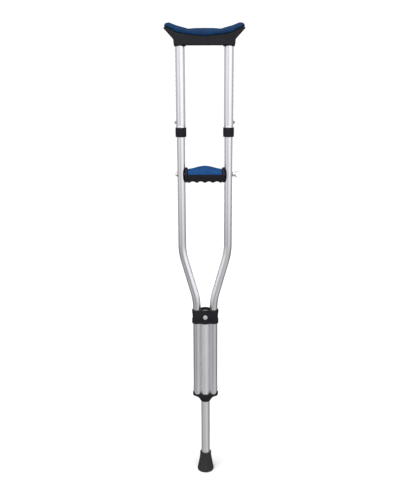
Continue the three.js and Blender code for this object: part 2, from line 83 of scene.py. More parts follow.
UPPER = Place("upper_tube_right")
COLLAR = Place("tube_collar_right")
BOW = Place("bow_tube_right")
PLUG = Place("bow_end_plug_right")
BUTTON = Place("snap_button_right")
LEG = Place("leg_tube")
LEG_CAP = Place("leg_end_cap")
LOCK = Place("lock_button")
YOKE = Place("yoke")
YOKE_RIVET = Place("yoke_rivet_right")
CLAMP = Place("lower_clamp")
CLAMP_RIVET = Place("clamp_rivet_right")
BASE = Place("underarm_base")
PAD = Place("underarm_pad")
GRIP = Place("grip_body")
GRIP_PAD = Place("grip_pad")
END_CAP = Place("grip_end_cap_right")
CORE = Place("grip_core")
GRIP_WASHER = Place("grip_washer_right")
BOLT = Place("grip_bolt")
NUT = Place("wing_nut")
TIP = Place("rubber_tip")
TIP_WASHER = Place("tip_washer")
SNAP_SPRING = Place("snap_spring_right")
LOCK_SPRING = Place("lock_spring")

CLEAR = 0.4                       # gap round a piece that slides in another
SEAT = 0.35                       # gap between faces that rest on each other
UPPER_WALL = 1.2
BOW_WALL = 1.4
LEG_WALL = 1.6

UPPER_X = UPPER.middle.x
UPPER_RADIUS = UPPER.half.x
UPPER_INSIDE = UPPER_RADIUS - UPPER_WALL
BOW_RADIUS = BOW.high.x - UPPER_X
BOW_INSIDE = BOW_RADIUS - BOW_WALL
BOW_LOW_X = BOW.low.x + BOW_RADIUS
UPPER_BEND_Z = 697.5              # where the straight and slanted lines cross
LOWER_BEND_Z = 554.5
BEND_RADIUS = 178
LEG_RADIUS = LEG.half.x
LEG_INSIDE = LEG_RADIUS - LEG_WALL

BUTTON_Z = BUTTON.middle.z
BUTTON_HOLE = 4.4
BUTTON_PITCH = 12.7
BUTTON_HOLES = 15
GRIP_Z = CORE.middle.z
GRIP_PITCH = 25.4
GRIP_HOLES = 7
BOLT_HOLE = 3.6
BOLT_RADIUS = 3.15
CORE_RADIUS = CORE.half.z
LOCK_Z = LOCK.middle.z
LOCK_HOLE = 7.4
RIVET_HOLE = 2.35
NOTCH_RADIUS = 24                 # the hollow in each end of the yoke
NOTCH_DEPTH = 2.5
YOKE_BOSS_RISE = 1.2
YOKE_WAIST = 12.5
CLAMP_WAIST = 11.5
WAVE_PITCH = 22                   # from one finger hollow to the next
THREAD_PITCH = 1.27
SOLE_THICKNESS = 8


# Brightness of the room round the crutch, by degrees from straight in front.
SURROUND = [(-180, 0.6), (-120, 0.5), (-86, 0.58), (-66, 0.86), (-46, 0.96), (-26, 0.74), (-4, 0.78),
            (16, 1.17), (55, 1.2), (70, 0.85), (86, 0.5), (120, 0.5), (180, 0.6)]
# The same by height, from straight down (0) to straight up (1).
HEIGHTS = [(0, 0.50), (0.25, 0.56), (0.29, 0.44), (0.35, 0.50), (0.42, 0.82), (0.50, 1.04), (0.56, 1.04),
           (0.8, 0.65), (1, 0.6)]


# ---------------- shape helpers

def filleted(corners, closed=False, steps=5):
    """A line through [a, b] corners, where a third number rounds the corner to that radius."""
    line = []
    count = len(corners)
    for i, corner in enumerate(corners):
        at = np.array(corner[:2], float)
        radius = corner[2] if len(corner) > 2 else 0
        inner = closed or 0 < i < count - 1
        if not radius or not inner:
            line.append(at)
            continue
        back = np.array(corners[i - 1][:2], float) - at
        ahead = np.array(corners[(i + 1) % count][:2], float) - at
        room = 0.49 * min(np.hypot(*back), np.hypot(*ahead))
        back /= np.hypot(*back)
        ahead /= np.hypot(*ahead)
        half = math.acos(np.clip(back @ ahead, -1, 1)) / 2
        reach = min(radius / math.tan(half), room)
        radius = reach * math.tan(half)
        spoke = back + ahead
        centre = at + spoke / np.hypot(*spoke) * radius / math.sin(half)
        start = at + back * reach - centre
        end = at + ahead * reach - centre
        turn = math.atan2(start[0] * end[1] - start[1] * end[0], start @ end)
        for step in range(steps + 1):
            angle = turn * step / steps
            cosine, sine = math.cos(angle), math.sin(angle)
            line.append(centre + [start[0] * cosine - start[1] * sine, start[0] * sine + start[1] * cosine])
    return np.array(line)


def skin(rings, wrap=False):
    """A surface through rings of equally many points: (points, faces, corner places).

    It closes on itself with wrap, and has end faces without. A corner place is
    (share of the way round, distance along), for a finish that follows a tube.
    """
    rings = [np.asarray(ring, float) for ring in rings]
    count = len(rings[0])
    steps = [np.linalg.norm(b - a, axis=1).mean() for a, b in zip(rings, rings[1:] + rings[:1])]
    along = np.concatenate([[0], np.cumsum(steps)])
    faces, places = [], []
    for k in range(len(rings) if wrap else len(rings) - 1):
        here = k * count
        there = (k + 1) % len(rings) * count
        for i in range(count):
            j = (i + 1) % count
            faces.append((here + i, here + j, there + j, there + i))
            left, right = i / count, (i + 1) / count
            places += [(left, along[k]), (right, along[k]), (right, along[k + 1]), (left, along[k + 1])]
    if not wrap:
        last = (len(rings) - 1) * count
        faces.append(tuple(range(count - 1, -1, -1)))
        faces.append(tuple(range(last, last + count)))
        places += [(0.5, 0)] * (2 * count)
    return np.concatenate(rings), faces, places


def turned(profile, turns=64, axis="Z", at=(0, 0, 0), wrap=False):
    """A turned solid from [radius, distance along its axis] points. axis is Z, X or front."""
    angles = np.arange(turns) / turns * 2 * math.pi
    cosine, sine, same = np.cos(angles), np.sin(angles), np.ones(turns)
    rings = []
    for radius, along in profile:
        if axis == "Z":
            ring = [radius * cosine, radius * sine, along * same]
        elif axis == "X":
            ring = [along * same, radius * cosine, radius * sine]
        else:
            ring = [radius * cosine, -along * same, radius * sine]
        rings.append(np.array(ring).T + at)
    return skin(rings, wrap)


def tube(centre_line, outer, inner, turns=64):
    """A tube along points in the XZ plane."""
    line = np.array([[x, 0, z] for x, z in centre_line], float)
    ways = np.diff(line, axis=0)
    ways /= np.linalg.norm(ways, axis=1)[:, None]
    tangents = np.vstack([ways[:1], ways[1:] + ways[:-1], ways[-1:]])
    tangents /= np.linalg.norm(tangents, axis=1)[:, None]
    angles = np.arange(turns) / turns * 2 * math.pi
    across = np.array([0, 1, 0])

    def ring(k, radius):
        side = np.cross(across, tangents[k])
        spokes = np.outer(np.cos(angles), side) + np.outer(np.sin(angles), across)
        return line[k] + radius * spokes

    order = range(len(line))
    return skin([ring(k, outer) for k in order] + [ring(k, inner) for k in reversed(order)], wrap=True)


def peg(radius, start, end, axis="Z", at=(0, 0, 0), turns=48, flares=(0, 0)):
    """A round tool for cutting. flares round the rims that it leaves at its start and its end."""
    quarter = np.linspace(0, math.pi / 2, 5)
    profile = []
    for place, flare, way in ((start, flares[0], -1), (end, flares[1], 1)):
        arc = [(radius + flare * (1 - math.cos(a)), place + way * flare * (math.sin(a) - 1))
               for a in quarter]
        rim = [*arc, (radius + flare, place + way * 2)] if flare else [(radius, place)]
        profile += rim[::way]
    return turned(profile, turns, axis, at)


def rounded_stack(outline, low, high, edge, steps=4):
    """An upright prism with rounded rims. outline(inset) gives its plan, drawn in by inset."""
    angles = np.linspace(0, math.pi / 2, steps + 1)
    levels = [(edge * (1 - math.sin(a)), low + edge * (1 - math.cos(a))) for a in angles]
    levels += [(inset, low + high - z) for inset, z in reversed(levels)]
    return skin([[(x, y, z) for x, y in outline(inset)] for inset, z in levels])


def three_bosses(middle_radius, end_radius, waist):
    """A plan round the leg and both bow tubes, as a function of how far it is drawn in."""
    def outline(inset):
        end, middle, side = end_radius - inset, middle_radius - inset, waist - inset
        meet_end, meet_middle = math.asin(side / end), math.asin(side / middle)
        quarter = [(BOW_LOW_X + end * math.cos(a), end * math.sin(a))
                   for a in np.linspace(0, math.pi - meet_end, 25)]
        quarter += [(middle * math.cos(a), middle * math.sin(a))
                    for a in np.linspace(meet_middle, math.pi / 2, 13)]
        upper = quarter + [(-x, y) for x, y in quarter[-2::-1]]
        return upper + [(-x, -y) for x, y in upper[1:-1]]

    return outline


def together(*shapes):
    """Several separate shapes as one."""
    points, faces, places = [], [], []
    start = 0
    for shape_points, shape_faces, shape_places in shapes:
        points.append(shape_points)
        faces += [tuple(start + i for i in face) for face in shape_faces]
        places += shape_places
        start += len(shape_points)
    return np.concatenate(points), faces, places


def block(low, high):
    """A box between two corners, as a tool."""
    (x0, y0, z0), (x1, y1, z1) = low, high
    plan = [(x0, y0), (x1, y0), (x1, y1), (x0, y1)]
    return skin([[(x, y, z) for x, y in plan] for z in (z0, z1)])


def solid(name, shape, girth=0.0):
    """An object from a shape. girth, in millimetres, scales the way round in its UV map."""
    points, faces, places = shape
    mesh = bpy.data.meshes.new(name)
    mesh.from_pydata((np.asarray(points) * MM).tolist(), [], faces)
    layer = mesh.uv_layers.new(name="along")
    scale = np.array([(girth or 1.0) * MM, MM])
    layer.data.foreach_set("uv", (np.array(places, float) * scale).ravel())
    work = bmesh.new()
    work.from_mesh(mesh)
    bmesh.ops.recalc_face_normals(work, faces=work.faces)
    work.to_mesh(mesh)
    work.free()
    piece = bpy.data.objects.new(name, mesh)
    SCENE.collection.objects.link(piece)
    return piece


def settle(piece):
    """Turns a piece with modifiers into a plain mesh."""
    graph = bpy.context.evaluated_depsgraph_get()
    mesh = bpy.data.meshes.new_from_object(piece.evaluated_get(graph))
    piece.modifiers.clear()
    piece.data = mesh
    return piece


def carve(piece, *shapes, how="DIFFERENCE"):
    """Cuts shapes out of a piece, or joins them to it with how="UNION"."""
    tools = []
    for shape in shapes:
        tool = solid("tool", shape)
        tools.append(tool)
        cut = piece.modifiers.new("cut", "BOOLEAN")
        cut.operation = how
        cut.solver = "EXACT"
        cut.object = tool
    settle(piece)
    for tool in tools:
        bpy.data.objects.remove(tool)
    return piece


def bevelled(piece, width, angle=40, segments=2):
    """Rounds a piece's sharp edges."""
    bevel = piece.modifiers.new("bevel", "BEVEL")
    bevel.width = width * MM
    bevel.segments = segments
    bevel.limit_method = "ANGLE"
    bevel.angle_limit = math.radians(angle)
    return settle(piece)


def softened(piece, voxel, rounds):
    """Melts a joined shape's edges into small fillets, as a moulded or cast piece has."""
    remesh = piece.modifiers.new("remesh", "REMESH")
    remesh.mode = "VOXEL"
    remesh.voxel_size = voxel * MM
    smooth = piece.modifiers.new("smooth", "SMOOTH")
    smooth.factor = 0.5
    smooth.iterations = rounds
    return settle(piece)


def polished(piece, angle=35):
    """Smooth shading that keeps edges sharper than angle, with flat faces left flat."""
    piece.data.shade_smooth()
    piece.data.set_sharp_from_angle(angle=math.radians(angle))
    weighted = piece.modifiers.new("weighted", "WEIGHTED_NORMAL")
    weighted.keep_sharp = True
    return settle(piece)


def true_walls(piece, centre_line):
    """Gives a tube's walls the normals of a perfect tube, whatever holes cut them."""
    mesh = piece.data
    mesh.shade_smooth()
    mesh.set_sharp_from_angle(angle=math.radians(30))
    points = np.empty(len(mesh.vertices) * 3)
    mesh.vertices.foreach_get("co", points)
    points = points.reshape(-1, 3)
    line = np.array([[x, 0, z] for x, z in centre_line], float) * MM
    best = np.full(len(points), np.inf)
    spokes = np.zeros_like(points)
    for a, b in zip(line, line[1:]):
        share = np.clip((points - a) @ (b - a) / ((b - a) @ (b - a)), 0, 1)
        spoke = points - (a + share[:, None] * (b - a))
        size = np.linalg.norm(spoke, axis=1)
        nearer = size < best
        best[nearer] = size[nearer]
        spokes[nearer] = spoke[nearer]
    spokes /= np.maximum(best, 1e-9)[:, None]
    normals = np.zeros((len(mesh.loops), 3))
    for face in mesh.polygons:
        own = list(face.loop_indices)
        around = spokes[[mesh.loops[loop].vertex_index for loop in own]]
        facing = np.array(face.normal) @ around.mean(0)
        if abs(facing) > 0.96:
            normals[own] = around * math.copysign(1, facing)
    mesh.normals_split_custom_set(normals.tolist())
    return piece


# ---------------- finishes

class Finish:
    """A material while it is being made, with short calls that add its nodes."""

    def __init__(self, name, **constants):
        self.material = bpy.data.materials.new(name)
        self.material.use_nodes = True
        self.tree = self.material.node_tree
        self.surface = self.tree.nodes["Principled BSDF"]
        for socket, value in constants.items():
            self.surface.inputs[socket.replace("_", " ")].default_value = value
        self.object_place = self.add("ShaderNodeTexCoord").outputs["Object"]
        self.tube_place = self.add("ShaderNodeUVMap", uv_map="along").outputs["UV"]

    def add(self, kind, **settings):
        node = self.tree.nodes.new(kind)
        for name, value in settings.items():
            setattr(node, name, value)
        return node

    def put(self, socket, value):
        if isinstance(value, bpy.types.NodeSocket):
            self.tree.links.new(value, socket)
        else:
            socket.default_value = value

    def stretched(self, place, scale):
        mapping = self.add("ShaderNodeMapping")
        self.put(mapping.inputs["Vector"], place)
        mapping.inputs["Scale"].default_value = scale
        return mapping.outputs["Vector"]

    def noise(self, place, scale, detail=2.0, roughness=0.5):
        node = self.add("ShaderNodeTexNoise")
        self.put(node.inputs["Vector"], place)
        node.inputs["Scale"].default_value = scale
        node.inputs["Detail"].default_value = detail
        node.inputs["Roughness"].default_value = roughness
        return node.outputs["Fac"]

    def cells(self, place, scale, feature="F1", output="Distance"):
        node = self.add("ShaderNodeTexVoronoi", feature=feature)
        self.put(node.inputs["Vector"], place)
        node.inputs["Scale"].default_value = scale
        return node.outputs[output]

    def spread(self, value, low, high, start=0.0, end=1.0):
        """value from low..high carried to start..end."""
        node = self.add("ShaderNodeMapRange")
        for socket, number in zip(("Value", "From Min", "From Max", "To Min", "To Max"),
                                  (value, low, high, start, end)):
            self.put(node.inputs[socket], number)
        return node.outputs["Result"]

    def sum(self, how, one, other):
        node = self.add("ShaderNodeMath", operation=how)
        self.put(node.inputs[0], one)
        self.put(node.inputs[1], other)
        return node.outputs["Value"]

    def blend(self, share, one, other):
        """A colour from one to other."""
        node = self.add("ShaderNodeMix", data_type="RGBA")
        self.put(node.inputs[0], share)
        for socket, colour in ((node.inputs[6], one), (node.inputs[7], other)):
            self.put(socket, (*colour, 1) if isinstance(colour, tuple) else colour)
        return node.outputs[2]

    def edges(self, radius, breakup):
        """Where a piece has an edge, broken up by a noise."""
        bevel = self.add("ShaderNodeBevel", samples=4)
        bevel.inputs["Radius"].default_value = radius
        true = self.add("ShaderNodeNewGeometry").outputs["Normal"]
        product = self.add("ShaderNodeVectorMath", operation="DOT_PRODUCT")
        self.put(product.inputs[0], bevel.outputs["Normal"])
        self.put(product.inputs[1], true)
        mask = self.spread(product.outputs["Value"], 0.995, 0.9)
        return self.sum("MULTIPLY", mask, self.spread(breakup, 0.4, 0.62))

    def relief(self, *layers):
        """Bumps from (height, distance in metres, strength) layers, one over another."""
        normal = None
        for height, distance, strength in layers:
            bump = self.add("ShaderNodeBump")
            self.put(bump.inputs["Height"], height)
            bump.inputs["Distance"].default_value = distance
            bump.inputs["Strength"].default_value = strength
            if normal is not None:
                self.put(bump.inputs["Normal"], normal)
            normal = bump.outputs["Normal"]
        self.put(self.surface.inputs["Normal"], normal)

    def finish(self, colour, roughness):
        self.put(self.surface.inputs["Base Color"], colour)
        self.put(self.surface.inputs["Roughness"], roughness)
        return self.material


def drawn_aluminium(name, light, dark, smooth, rough):
    """Anodised tube: fine lines drawn along it, faint smudges and a few scratches."""
    f = Finish(name, Metallic=1.0)
    lines = f.noise(f.stretched(f.tube_place, (4200, 14, 1)), 1.0, 3.0, 0.6)
    smudges = f.noise(f.object_place, 30, 3.0)
    scratches = f.spread(f.noise(f.stretched(f.tube_place, (900, 160, 1)), 1.0, 1.0), 0.735, 0.76)
    colour = f.blend(f.spread(lines, 0.3, 0.7), dark, light)
    colour = f.blend(f.sum("MULTIPLY", f.spread(smudges, 0.55, 0.8), 0.4), colour, dark)
    shine = f.spread(lines, 0.3, 0.7, smooth, rough)
    shine = f.sum("ADD", shine, f.spread(smudges, 0.45, 0.8, 0.0, 0.05))
    shine = f.sum("ADD", shine, f.sum("MULTIPLY", scratches, 0.10))
    f.relief((lines, 0.00001, 0.2), (f.sum("MULTIPLY", scratches, -1.0), 0.00002, 0.4))
    return f.finish(colour, shine)


def moulded_plastic(name, dark, light, worn, smooth, rough):
    """Moulded plastic: a fine spark-eroded grain, slight flow marks and rubbed edges."""
    f = Finish(name, Specular_IOR_Level=0.17)
    grain = f.noise(f.object_place, 2600, 2.0, 0.7)
    flow = f.noise(f.stretched(f.object_place, (30, 30, 70)), 1.0, 4.0)
    rub = f.noise(f.object_place, 260, 3.0, 0.65)
    edges = f.edges(0.0009, rub)
    colour = f.blend(f.spread(flow, 0.35, 0.7), dark, light)
    colour = f.blend(f.sum("MULTIPLY", edges, 0.6), colour, worn)
    shine = f.spread(f.sum("ADD", f.sum("MULTIPLY", flow, 0.6), f.sum("MULTIPLY", grain, 0.4)),
                     0.3, 0.7, smooth, rough)
    f.relief((flow, 0.0006, 0.12), (grain, 0.00008, 0.55))
    return f.finish(colour, shine)


def foam_skin(name, deep, bright, sheen, painted_shade_start):
    """Foam rubber with a closed skin: shallow pores, soft dents and a slight sheen.

    Painted shade darkens it towards its ends, beyond the given distance from the middle.
    """
    f = Finish(name, Specular_IOR_Level=0.14, Sheen_Weight=sheen, Sheen_Roughness=0.45,
               Sheen_Tint=(0.35, 0.55, 0.9, 1))
    tone = f.noise(f.object_place, 55, 4.0, 0.6)
    pores = f.cells(f.object_place, 1150)
    creases = f.noise(f.object_place, 520, 3.0, 0.65)
    dents = f.noise(f.object_place, 70, 2.0)
    pits = f.spread(pores, 0.0, 0.35)
    colour = f.blend(f.spread(tone, 0.32, 0.68), deep, bright)
    # Painted shade in the pores: each pit is darkened towards half the deep colour.
    colour = f.blend(f.spread(pores, 0.0, 0.3, 0.35, 0.0), colour, tuple(0.5 * c for c in deep))
    # Painted shade: past the given distance from the middle, the ends turn nearly black.
    across = f.add("ShaderNodeSeparateXYZ")
    f.put(across.inputs["Vector"], f.object_place)
    wander = f.spread(tone, 0.3, 0.7, -0.003, 0.003)
    reach = f.sum("ADD", f.sum("ABSOLUTE", across.outputs["X"], 0.0), wander)
    ends = f.spread(reach, painted_shade_start, painted_shade_start + 0.014, 0.0, 0.8)
    colour = f.blend(ends, colour, (0.006, 0.007, 0.010))
    shine = f.spread(f.sum("ADD", f.sum("MULTIPLY", creases, 0.5), f.sum("MULTIPLY", tone, 0.5)),
                     0.35, 0.65, 0.44, 0.62)
    f.relief((dents, 0.0012, 0.18), (creases, 0.0002, 0.3), (pits, 0.0001, 0.3))
    return f.finish(colour, shine)


def moulded_rubber(name):
    """Matte rubber with a fine grain, pale where it rubs the ground and along its rims."""
    f = Finish(name, Specular_IOR_Level=0.25)
    grain = f.noise(f.object_place, 1700, 3.0, 0.7)
    mottle = f.noise(f.object_place, 85, 4.0, 0.6)
    rub = f.noise(f.object_place, 340, 4.0, 0.7)
    height = f.add("ShaderNodeSeparateXYZ")
    f.put(height.inputs["Vector"], f.object_place)
    low = f.spread(height.outputs["Z"], 0.007, 0.001)
    dust = f.sum("MULTIPLY", low, f.spread(rub, 0.42, 0.7))
    edges = f.edges(0.0012, rub)
    colour = f.blend(f.spread(mottle, 0.3, 0.7), (0.012, 0.012, 0.0122), (0.018, 0.018, 0.0185))
    colour = f.blend(f.sum("MULTIPLY", dust, 0.55), colour, (0.07, 0.068, 0.063))
    colour = f.blend(f.sum("MULTIPLY", edges, 0.35), colour, (0.045, 0.045, 0.045))
    f.relief((mottle, 0.0005, 0.15), (grain, 0.00012, 0.6))
    return f.finish(colour, f.spread(grain, 0.3, 0.7, 0.62, 0.85))


def plated_metal(name, light, dark, smooth, rough, ring_lines):
    """Plated steel: faint crystal patches, fine polishing lines and rubbed edges."""
    f = Finish(name, Metallic=1.0)
    patches = f.cells(f.object_place, 420, output="Color")
    patch = f.add("ShaderNodeSeparateXYZ")
    f.put(patch.inputs["Vector"], patches)
    patch_tone = patch.outputs["X"]
    lines = f.noise(f.stretched(f.object_place, ring_lines), 1.0, 3.0, 0.6)
    stain = f.noise(f.object_place, 190, 4.0)
    colour = f.blend(patch_tone, dark, light)
    colour = f.blend(f.sum("MULTIPLY", f.spread(stain, 0.5, 0.75), 0.6), colour, tuple(0.6 * c for c in dark))
    shine = f.sum("ADD", f.spread(lines, 0.3, 0.7, smooth, rough), f.spread(stain, 0.4, 0.8, 0.0, 0.1))
    f.relief((lines, 0.00003, 0.4), (stain, 0.0001, 0.15))
    return f.finish(colour, shine)


FINISHES = {
    "bright_aluminium": drawn_aluminium(
        "bright_aluminium", (0.91, 0.90, 0.935), (0.83, 0.82, 0.86), 0.10, 0.19),
    "satin_aluminium": drawn_aluminium(
        "satin_aluminium", (0.87, 0.87, 0.88), (0.79, 0.79, 0.80), 0.34, 0.44),
    "black_plastic": moulded_plastic(
        "black_plastic", (0.0055, 0.005, 0.0075), (0.009, 0.008, 0.0115), (0.03, 0.03, 0.034), 0.38, 0.56),
    "grey_plastic": moulded_plastic(
        "grey_plastic", (0.20, 0.20, 0.205), (0.26, 0.26, 0.265), (0.34, 0.34, 0.35), 0.40, 0.58),
    "pad_cover": foam_skin("pad_cover", (0.0008, 0.019, 0.066), (0.0016, 0.031, 0.096), 0.05, 0.091),
    "grip_cushion": foam_skin("grip_cushion", (0.001, 0.034, 0.125), (0.002, 0.052, 0.18), 0.06, 0.043),
    "button_metal": plated_metal(
        "button_metal", (0.90, 0.90, 0.90), (0.82, 0.82, 0.82), 0.22, 0.36, (900, 900, 3000)),
    "zinc_steel": plated_metal(
        "zinc_steel", (0.80, 0.80, 0.80), (0.70, 0.70, 0.71), 0.24, 0.42, (2200, 2200, 700)),
    "black_steel": plated_metal(
        "black_steel", (0.045, 0.045, 0.047), (0.03, 0.03, 0.032), 0.3, 0.5, (2200, 2200, 700)),
    "tip_rubber": moulded_rubber("tip_rubber"),
}


# ---------------- showing the pieces

def wear(piece, node):
    """Gives a piece the finish of its CAD node's slot."""
    piece.data.materials.clear()
    piece.data.materials.append(FINISHES[SLOT[node]])


def show(piece, node):
    """Lets a finished piece stand for one CAD node."""
    piece.name = f"{node}_fine"
    wear(piece, node)
    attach(piece, BODY[node])
    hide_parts(node)
    return piece


def show_pair(right, name):
    """The right-hand piece, and a copy turned half round Z on the left."""
    left = right.copy()
    left.data = right.data.copy()
    left.data.transform(Matrix.Rotation(math.pi, 4, "Z"))
    SCENE.collection.objects.link(left)
    show(right, f"{name}_right")
    show(left, f"{name}_left")


# ---------------- upper section

def saddle_outline(corners, steps):
    """One half of an outline and its mirror image, from the left end to the right."""
    half = filleted(corners, steps=steps)
    return np.vstack([(half * [-1, 1])[:0:-1], half])


def evenly(line, count):
    """count points spaced evenly along a line."""
    sizes = np.concatenate([[0], np.cumsum(np.linalg.norm(np.diff(line, axis=0), axis=1))])
    wanted = np.linspace(0, sizes[-1], count)
    return np.array([np.interp(wanted, sizes, line[:, k]) for k in (0, 1)]).T


def cushion_section(height, half_depth, low_edge, high_edge, crown, bulge, steps=7):
    """A section of [depth, height] points with rounded corners, a crowned top and full sides."""
    low_edge = min(low_edge, 0.45 * height, 0.9 * half_depth)
    high_edge = min(high_edge, 0.5 * height, 0.9 * half_depth)
    corners = [
        (half_depth, 0, low_edge), (half_depth, height, high_edge),
        (-half_depth, height, high_edge), (-half_depth, 0, low_edge),
    ]
    line = filleted(corners, closed=True, steps=steps)
    rise = np.clip(line[:, 1] / height, 0, 1)
    across = np.clip(line[:, 0] / half_depth, -1, 1)
    line[:, 0] += np.sign(across) * bulge * np.sin(math.pi * rise) * np.abs(across) ** 2
    line[:, 1] += crown * rise ** 2 * (1 - across ** 2)
    return line


def saddle_loft(bottom, top, half_depth, end_round, low_edge, high_edge, crown=0.0, bulge=0.0):
    """A body between two outlines in the XZ plane, rounded front, back and at both ends."""
    rings = []
    reach = max(abs(bottom[0][0]), abs(top[0][0]))
    for low, high in zip(bottom, top):
        middle = (low + high) / 2
        way = high - low
        height = np.hypot(*way)
        inward = np.clip((reach - abs(middle[0])) / end_round, 0.004, 1)
        depth = half_depth - end_round * (1 - math.sqrt(inward * (2 - inward)))
        section = cushion_section(max(height, 0.4), depth, low_edge, high_edge, crown, bulge)
        way = way / height if height > 1e-6 else np.array([0, 1])
        rings.append([(low[0] + way[0] * rise, deep, low[1] + way[1] * rise) for deep, rise in section])
    return skin(rings)


SADDLE_SEAM = [(0, 1280, 0), (45, 1284, 60), (76, 1290.4, 12), (81, 1294.8, 8)]


def underarm_pad():
    """The soft saddle: crowned in the middle, rising to a rounded horn at each end."""
    seam = SADDLE_SEAM + [(101, 1303.4, 2), (104.4, 1305.4)]
    crest = [(0, 1300.3), (24, 1300), (42.5, 1298.4, 10), (52, 1301.4, 30), (73, 1307, 40),
             (91, 1314, 9), (100.6, 1312, 7), (104.4, 1306)]
    low = evenly(saddle_outline(seam, 6), 121)
    high = evenly(saddle_outline(crest, 8), 121)
    pad = solid("pad", saddle_loft(low, high, PAD.half.y - 0.9, 9, 6.5, 10.0, 0.0, 0.9))
    smooth = pad.modifiers.new("smooth", "SUBSURF")
    smooth.levels = smooth.render_levels = 1
    settle(pad)
    dented(pad, 0.18, 0.024, (3, 1, 7))
    show(polished(pad, 60), "underarm_pad")
    return pad


def dented(piece, height, size, shift):
    """Very slight unevenness, as soft moulded foam has."""
    texture = bpy.data.textures.new("unevenness", "CLOUDS")
    texture.noise_scale = size
    texture.noise_depth = 2
    offset = bpy.data.objects.new("unevenness_place", None)
    offset.location = Vector(shift) * 0.01
    SCENE.collection.objects.link(offset)
    displace = piece.modifiers.new("dents", "DISPLACE")
    displace.texture = texture
    displace.texture_coords = "OBJECT"
    displace.texture_coords_object = offset
    displace.strength = height * MM
    displace.mid_level = 0.5
    bpy.context.view_layer.update()
    settle(piece)
    bpy.data.objects.remove(offset)


def underarm_base():
    """The moulded bar: sockets over the tubes, and a ribbed hollow between them."""
    under = BASE.low.z + 3
    seam = [(x, z - 0.4, *more) for x, z, *more in SADDLE_SEAM] + [(101, 1302.9, 1.5), (104.3, 1302.7)]
    lower = [(0, under), (79.6, under, 2.4), (80.7, 1272.2, 5), (BASE.high.x, 1298.6, 2.5),
             (BASE.high.x, 1301.6)]
    low = evenly(saddle_outline(lower, 7), 181)
    high = evenly(saddle_outline(seam, 7), 181)
    base = solid("base", saddle_loft(low, high, BASE.half.y, 5, 2.4, 1.4))
    sockets, bores, arches, pockets = [], [], [], []
    socket_radius, arch_radius = 15.4, 30
    for side in (-1, 1):
        at = (side * UPPER_X, 0, 0)
        profile = filleted([(0.2, BASE.low.z), (socket_radius, BASE.low.z, 1.2),
                            (socket_radius, under + 5), (0.2, under + 5)])
        sockets.append(turned(profile, 72, at=at))
        bores.append(peg(UPPER_RADIUS + CLEAR, BASE.low.z, UPPER.high.z + CLEAR, at=at, turns=72,
                         flares=(0.6, 0)))
        arches.append(peg(arch_radius, -40, 40, "front", (at[0], 0, BASE.low.z + 1.6 - arch_radius), 160))
    width = 45 / 2
    for i in range(4):
        left = -45 + i * width + 1.2
        pockets.append(block((left, -18, under - 2), (left + width - 2.4, 18, under + 17)))
    carve(base, together(*sockets), how="UNION")
    carve(base, together(*arches))
    carve(base, together(*pockets))
    carve(base, together(*bores))
    bevelled(base, 0.4, 50, 2)
    show(polished(base), "underarm_base")


def upper_tubes():
    line = [(UPPER_X, UPPER.low.z), (UPPER_X, UPPER.high.z)]
    tubes = solid("upper", upper_tube_shape(), girth=2 * math.pi * UPPER_RADIUS)
    holes = [peg(BUTTON_HOLE, UPPER_X + 6, UPPER_X + 20, "X", (0, 0, BUTTON_Z + i * BUTTON_PITCH), 32)
             for i in range(BUTTON_HOLES)]
    carve(tubes, together(*holes))
    show_pair(true_walls(tubes, line), "upper_tube")


def upper_tube_shape():
    """A straight tube with a rolled groove just above its collar."""
    groove_z = COLLAR.high.z + 4
    outer = [(UPPER_RADIUS, UPPER.low.z), (UPPER_RADIUS, groove_z - 1)]
    outer += [(UPPER_RADIUS - 0.3 * (1 + math.cos(a)) / 2, groove_z + 0.9 * a / math.pi)
              for a in np.linspace(-math.pi, math.pi, 9)]
    outer += [(UPPER_RADIUS, groove_z + 1), (UPPER_RADIUS, UPPER.high.z)]
    profile = outer + [(UPPER_INSIDE, UPPER.high.z), (UPPER_INSIDE, UPPER.low.z)]
    return turned(profile, 96, at=(UPPER_X, 0, 0), wrap=True)


def collars():
    inside = UPPER_RADIUS + CLEAR
    lip = BOW_RADIUS + CLEAR
    seat = UPPER.low.z - SEAT
    low, high, out = COLLAR.low.z, COLLAR.high.z, COLLAR.half.x
    profile = filleted([
        (lip, low, 0.5), (out - 0.3, low, 1.9), (out, (low + high) / 2, 80), (out - 0.2, high, 1.6),
        (inside, high, 0.3), (inside, seat), (lip, seat),
    ], closed=True, steps=6)
    show_pair(polished(solid("collar", turned(profile, 72, at=(UPPER_X, 0, 0), wrap=True))), "tube_collar")


# ---------------- frame

def bow_line():
    corners = [(UPPER_X, BOW.high.z), (UPPER_X, UPPER_BEND_Z, BEND_RADIUS),
               (BOW_LOW_X, LOWER_BEND_Z, BEND_RADIUS), (BOW_LOW_X, BOW.low.z)]
    return filleted(corners, steps=20)


def bow_tubes():
    line = bow_line()
    bow = solid("bow", tube(line, BOW_RADIUS, BOW_INSIDE), girth=2 * math.pi * BOW_RADIUS)
    grips = [peg(BOLT_HOLE, UPPER_X - 15, UPPER_X + 15, "X", (0, 0, GRIP_Z - i * GRIP_PITCH), 28)
             for i in range(GRIP_HOLES)]
    button = peg(BUTTON_HOLE, UPPER_X + 4, UPPER_X + 15, "X", (0, 0, BUTTON_Z), 32)
    rivets = [peg(RIVET_HOLE, BOW_LOW_X + 4, BOW_LOW_X + 15, "X", (0, 0, z), 24)
              for z in (YOKE_RIVET.middle.z, CLAMP_RIVET.middle.z)]
    carve(bow, together(*grips, button, *rivets))
    show_pair(true_walls(bow, line), "bow_tube")


def bow_end_plugs():
    stem, brim = BOW_INSIDE - CLEAR, BOW.high.z + SEAT
    profile = filleted([
        (0.3, PLUG.low.z), (stem, PLUG.low.z, 1), (stem, brim), (PLUG.half.x, brim),
        (PLUG.half.x, PLUG.high.z, 0.8), (0.3, PLUG.high.z),
    ])
    show_pair(polished(solid("plug", turned(profile, 48, at=(UPPER_X, 0, 0)))), "bow_end_plug")


